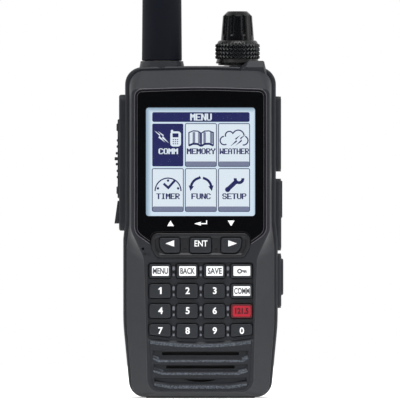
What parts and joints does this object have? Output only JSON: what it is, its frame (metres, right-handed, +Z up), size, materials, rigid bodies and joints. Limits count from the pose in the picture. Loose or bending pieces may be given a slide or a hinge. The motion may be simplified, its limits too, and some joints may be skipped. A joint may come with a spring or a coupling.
{
  "type": "handheld aviation radio",
  "caption": "Handheld airband radio with colour display, rubber keypad, concentric dial and knob, push-to-talk side key, covered side sockets, screw-on antenna and battery with belt clip.",
  "frame": {"origin": "centre of the flat under the case that the radio stands on", "axes": "+Z up towards the antenna, the display and keypad face -Y, +X to the right of someone reading the display"},
  "size_m": [0.0681, 0.0431, 0.3],
  "materials": {
    "case": "fine moulded grain, charcoal",
    "chassis": "satin black paint on a die casting",
    "rubber": "matt, slightly grey",
    "steel": "plain",
    "window": "gloss, tinted black border",
    "bezel": "semi-gloss",
    "mat": "grey silicone",
    "board": "green solder mask",
    "lcd": "pale blue-white display",
    "speaker": "black paper and plastic",
    "mesh": "black acoustic cloth",
    "knob": "matt elastomer",
    "brass": "gold plated",
    "socket": "moulded",
    "foil": "laminated pouch",
    "key": "satin with printed legend",
    "red_key": "satin red"
  },
  "bodies": {
    "radio": {"front_case": "case", "rear_chassis": "chassis", "case_gasket": "rubber", "case_screws": "steel", "display_window": "window", "softkey_bezel": "bezel", "keypad_mat": "mat", "key_domes": "steel", "main_board": "board", "lcd_panel": "lcd", "speaker": "speaker", "speaker_mesh": "mesh", "microphone": "steel", "control_body": "steel", "panel_nuts": "steel", "antenna_jack": "brass", "side_key_frame": "rubber", "side_switches": "board", "headset_jack": "socket", "side_jacks": "socket", "chassis_terminals": "brass"},
    "volume": {"volume_knob": "knob", "volume_shaft": "steel"},
    "dial": {"dial_ring": "knob"},
    "antenna_coupler": {"antenna_plug": "brass"},
    "antenna": {"antenna_whip": "rubber"},
    "ptt": {"ptt_button": "rubber"},
    "monitor": {"monitor_key": "rubber"},
    "headset_flap": {"headset_cover": "rubber"},
    "data_flap": {"data_cover": "rubber"},
    "dc_flap": {"dc_cover": "rubber"},
    "battery": {"battery_case": "case", "battery_lid": "case", "battery_cells": "foil", "battery_contacts": "brass", "clip_base": "case", "clip_screws": "steel", "clip_pin": "steel", "clip_spring": "steel"},
    "latch": {"battery_latch": "case"},
    "clip": {"clip_lever": "case"},
    "key_menu_body": {"key_menu": "key"},
    "key_back_body": {"key_back": "key"},
    "key_save_body": {"key_save": "key"},
    "key_lock_body": {"key_lock": "key"},
    "key_1_body": {"key_1": "key"},
    "key_2_body": {"key_2": "key"},
    "key_3_body": {"key_3": "key"},
    "key_comm_body": {"key_comm": "key"},
    "key_4_body": {"key_4": "key"},
    "key_5_body": {"key_5": "key"},
    "key_6_body": {"key_6": "key"},
    "key_emergency_body": {"key_emergency": "red_key"},
    "key_7_body": {"key_7": "key"},
    "key_8_body": {"key_8": "key"},
    "key_9_body": {"key_9": "key"},
    "key_0_body": {"key_0": "key"},
    "key_left_body": {"key_left": "key"},
    "key_enter_body": {"key_enter": "key"},
    "key_right_body": {"key_right": "key"}
  },
  "joints": [
    {"name": "volume_turn", "type": "hinge", "parent": "radio", "child": "volume", "pos_m": [0.01495, 0.0032, 0.145], "axis": [0, 0, 1], "range_deg": [0, 300]},
    {"name": "dial_turn", "type": "hinge", "parent": "radio", "child": "dial", "pos_m": [0.01495, 0.0032, 0.139], "axis": [0, 0, 1], "continuous": true},
    {"name": "antenna_lift", "type": "slide", "parent": "radio", "child": "antenna_coupler", "axis": [0, 0, 1], "range_m": [0, 0.00423]},
    {"name": "antenna_turn", "type": "hinge", "parent": "antenna_coupler", "child": "antenna", "pos_m": [-0.0156, 0.0032, 0.14], "axis": [0, 0, 1], "range_deg": [0, 2880]},
    {"name": "headset_flap_hinge", "type": "hinge", "parent": "radio", "child": "headset_flap", "pos_m": [0.0312, 0.0036, 0.106], "axis": [0, 0, 1], "range_deg": [0, 110]},
    {"name": "data_flap_hinge", "type": "hinge", "parent": "radio", "child": "data_flap", "pos_m": [0.0312, 0.0036, 0.074], "axis": [0, 0, 1], "range_deg": [0, 110]},
    {"name": "dc_flap_hinge", "type": "hinge", "parent": "radio", "child": "dc_flap", "pos_m": [0.0312, 0.0036, 0.047], "axis": [0, 0, 1], "range_deg": [0, 110]},
    {"name": "battery_slide", "type": "slide", "parent": "radio", "child": "battery", "axis": [0, 1, 0], "range_m": [0, 0.045]},
    {"name": "latch_slide", "type": "slide", "parent": "battery", "child": "latch", "axis": [0, 0, 1], "range_m": [0, 0.003], "stiffness_N_per_m": 250},
    {"name": "clip_hinge", "type": "hinge", "parent": "battery", "child": "clip", "pos_m": [0, 0.0216, 0.088], "axis": [1, 0, 0], "range_deg": [0, 15], "stiffness_Nm_per_rad": 0.3},
    {"name": "ptt_press", "type": "slide", "parent": "radio", "child": "ptt", "axis": [1, 0, 0], "range_m": [0, 0.0008], "stiffness_N_per_m": 2500},
    {"name": "monitor_press", "type": "slide", "parent": "radio", "child": "monitor", "axis": [1, 0, 0], "range_m": [0, 0.0008], "stiffness_N_per_m": 2000},
    {"name": "key_menu_press", "type": "slide", "parent": "radio", "child": "key_menu_body", "axis": [0, 1, 0], "range_m": [0, 0.0006], "stiffness_N_per_m": 1500},
    {"name": "key_back_press", "type": "slide", "parent": "radio", "child": "key_back_body", "axis": [0, 1, 0], "range_m": [0, 0.0006], "stiffness_N_per_m": 1500},
    {"name": "key_save_press", "type": "slide", "parent": "radio", "child": "key_save_body", "axis": [0, 1, 0], "range_m": [0, 0.0006], "stiffness_N_per_m": 1500},
    {"name": "key_lock_press", "type": "slide", "parent": "radio", "child": "key_lock_body", "axis": [0, 1, 0], "range_m": [0, 0.0006], "stiffness_N_per_m": 1500},
    {"name": "key_1_press", "type": "slide", "parent": "radio", "child": "key_1_body", "axis": [0, 1, 0], "range_m": [0, 0.0006], "stiffness_N_per_m": 1500},
    {"name": "key_2_press", "type": "slide", "parent": "radio", "child": "key_2_body", "axis": [0, 1, 0], "range_m": [0, 0.0006], "stiffness_N_per_m": 1500},
    {"name": "key_3_press", "type": "slide", "parent": "radio", "child": "key_3_body", "axis": [0, 1, 0], "range_m": [0, 0.0006], "stiffness_N_per_m": 1500},
    {"name": "key_comm_press", "type": "slide", "parent": "radio", "child": "key_comm_body", "axis": [0, 1, 0], "range_m": [0, 0.0006], "stiffness_N_per_m": 1500},
    {"name": "key_4_press", "type": "slide", "parent": "radio", "child": "key_4_body", "axis": [0, 1, 0], "range_m": [0, 0.0006], "stiffness_N_per_m": 1500},
    {"name": "key_5_press", "type": "slide", "parent": "radio", "child": "key_5_body", "axis": [0, 1, 0], "range_m": [0, 0.0006], "stiffness_N_per_m": 1500},
    {"name": "key_6_press", "type": "slide", "parent": "radio", "child": "key_6_body", "axis": [0, 1, 0], "range_m": [0, 0.0006], "stiffness_N_per_m": 1500},
    {"name": "key_emergency_press", "type": "slide", "parent": "radio", "child": "key_emergency_body", "axis": [0, 1, 0], "range_m": [0, 0.0006], "stiffness_N_per_m": 1500},
    {"name": "key_7_press", "type": "slide", "parent": "radio", "child": "key_7_body", "axis": [0, 1, 0], "range_m": [0, 0.0006], "stiffness_N_per_m": 1500},
    {"name": "key_8_press", "type": "slide", "parent": "radio", "child": "key_8_body", "axis": [0, 1, 0], "range_m": [0, 0.0006], "stiffness_N_per_m": 1500},
    {"name": "key_9_press", "type": "slide", "parent": "radio", "child": "key_9_body", "axis": [0, 1, 0], "range_m": [0, 0.0006], "stiffness_N_per_m": 1500},
    {"name": "key_0_press", "type": "slide", "parent": "radio", "child": "key_0_body", "axis": [0, 1, 0], "range_m": [0, 0.0006], "stiffness_N_per_m": 1500},
    {"name": "key_left_press", "type": "slide", "parent": "radio", "child": "key_left_body", "axis": [0, 1, 0], "range_m": [0, 0.0006], "stiffness_N_per_m": 1500},
    {"name": "key_enter_press", "type": "slide", "parent": "radio", "child": "key_enter_body", "axis": [0, 1, 0], "range_m": [0, 0.0006], "stiffness_N_per_m": 1500},
    {"name": "key_right_press", "type": "slide", "parent": "radio", "child": "key_right_body", "axis": [0, 1, 0], "range_m": [0, 0.0006], "stiffness_N_per_m": 1500}
  ],
  "couplings": [
    {"joint": "antenna_turn", "follows": "antenna_lift", "rad_per_m": 8904.7}
  ]
}
